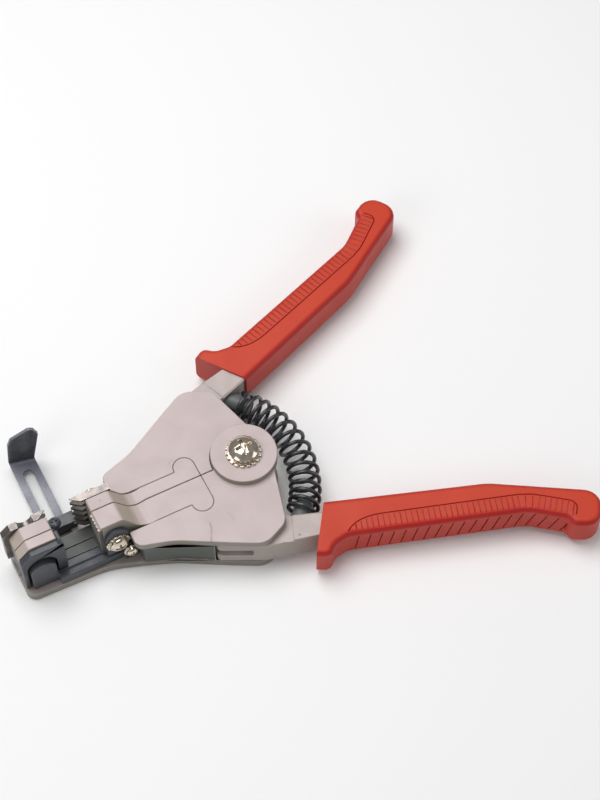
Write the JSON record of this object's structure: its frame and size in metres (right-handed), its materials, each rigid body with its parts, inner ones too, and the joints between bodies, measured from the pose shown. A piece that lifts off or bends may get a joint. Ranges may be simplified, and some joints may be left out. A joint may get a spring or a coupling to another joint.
{
  "type": "wire stripper",
  "caption": "Plier-like wire stripper with two hinged half frames, sliding notched-blade and gripping jaws, a folded wire stop, a bent coil return spring and sleeved handles.",
  "frame": {"origin": "main pivot axis on the flat back of the lower frame's plate, the face the tool lies on", "axes": "+X from the jaws towards the handles along the tool's middle line, +Y towards the handle with the blades and wire stop, +Z from the back plates to the front plates along the pivot"},
  "size_m": [0.1665, 0.1395, 0.0218],
  "materials": {
    "casting": "satin, warm grey, lightly pebbled",
    "lever_steel": "satin grey",
    "grip": "soft dipped vinyl, orange red",
    "black_steel": "black oxide",
    "blade_steel": "ground",
    "plain_steel": "turned",
    "zinc": "nickel plated, bright"
  },
  "bodies": {
    "lower_half": {"lower_frame": "casting", "lower_jaw_lever": "casting", "strap_guide": "black_steel", "strap_guide_screw": "zinc", "strap_guide_washer": "zinc", "side_screw": "zinc", "pivot_screw": "zinc", "pivot_washer": "zinc", "pivot_nut": "plain_steel"},
    "upper_half": {"upper_frame": "casting", "upper_jaw_lever": "casting", "inner_blade": "blade_steel", "inner_blade_screw": "zinc", "stop_guide": "black_steel", "stop_clamp_screw": "black_steel", "web_screws": "black_steel"},
    "lower_lever": {"lower_handle": "lever_steel", "lower_grip": "grip", "lower_crank_pin": "plain_steel", "lower_spring_peg": "plain_steel", "return_spring": "black_steel"},
    "upper_lever": {"upper_handle": "lever_steel", "upper_grip": "grip", "upper_crank_pin": "plain_steel", "upper_spring_peg": "plain_steel"},
    "grip_jaw": {"lower_tip_jaw": "casting", "jaw_pad": "black_steel", "side_strap": "black_steel"},
    "blade_jaw": {"upper_tip_jaw": "casting", "tip_blade": "blade_steel", "tip_blade_screw": "zinc"},
    "stop": {"wire_stop": "black_steel"}
  },
  "joints": [
    {"name": "strip_stroke", "type": "hinge", "parent": "lower_half", "child": "upper_half", "pos_m": [0, 0, 0.0075], "axis": [0, 0, -1], "range_deg": [0, 22], "stiffness_Nm_per_rad": 0.4},
    {"name": "lower_squeeze", "type": "hinge", "parent": "lower_half", "child": "lower_lever", "pos_m": [0, 0, 0.0075], "axis": [0, 0, 1], "range_deg": [0, 21], "stiffness_Nm_per_rad": 0.3, "deforming": ["return_spring"]},
    {"name": "upper_squeeze", "type": "hinge", "parent": "upper_half", "child": "upper_lever", "pos_m": [0, 0, 0.0075], "axis": [0, 0, -1], "range_deg": [0, 21], "stiffness_Nm_per_rad": 0.3},
    {"name": "grip_jaw_slide", "type": "slide", "parent": "lower_half", "child": "grip_jaw", "axis": [1, 0, 0], "range_m": [0, 0.0079]},
    {"name": "blade_jaw_slide", "type": "slide", "parent": "upper_half", "child": "blade_jaw", "axis": [1, 0, 0], "range_m": [0, 0.0079]},
    {"name": "stop_slide", "type": "slide", "parent": "upper_half", "child": "stop", "axis": [0, 1, 0], "range_m": [-0.006, 0]}
  ],
  "couplings": [
    {"joint": "upper_squeeze", "follows": "lower_squeeze", "ratio": 1},
    {"joint": "grip_jaw_slide", "follows": "lower_squeeze", "m_per_rad": 0.0215},
    {"joint": "blade_jaw_slide", "follows": "lower_squeeze", "m_per_rad": 0.0215}
  ]
}
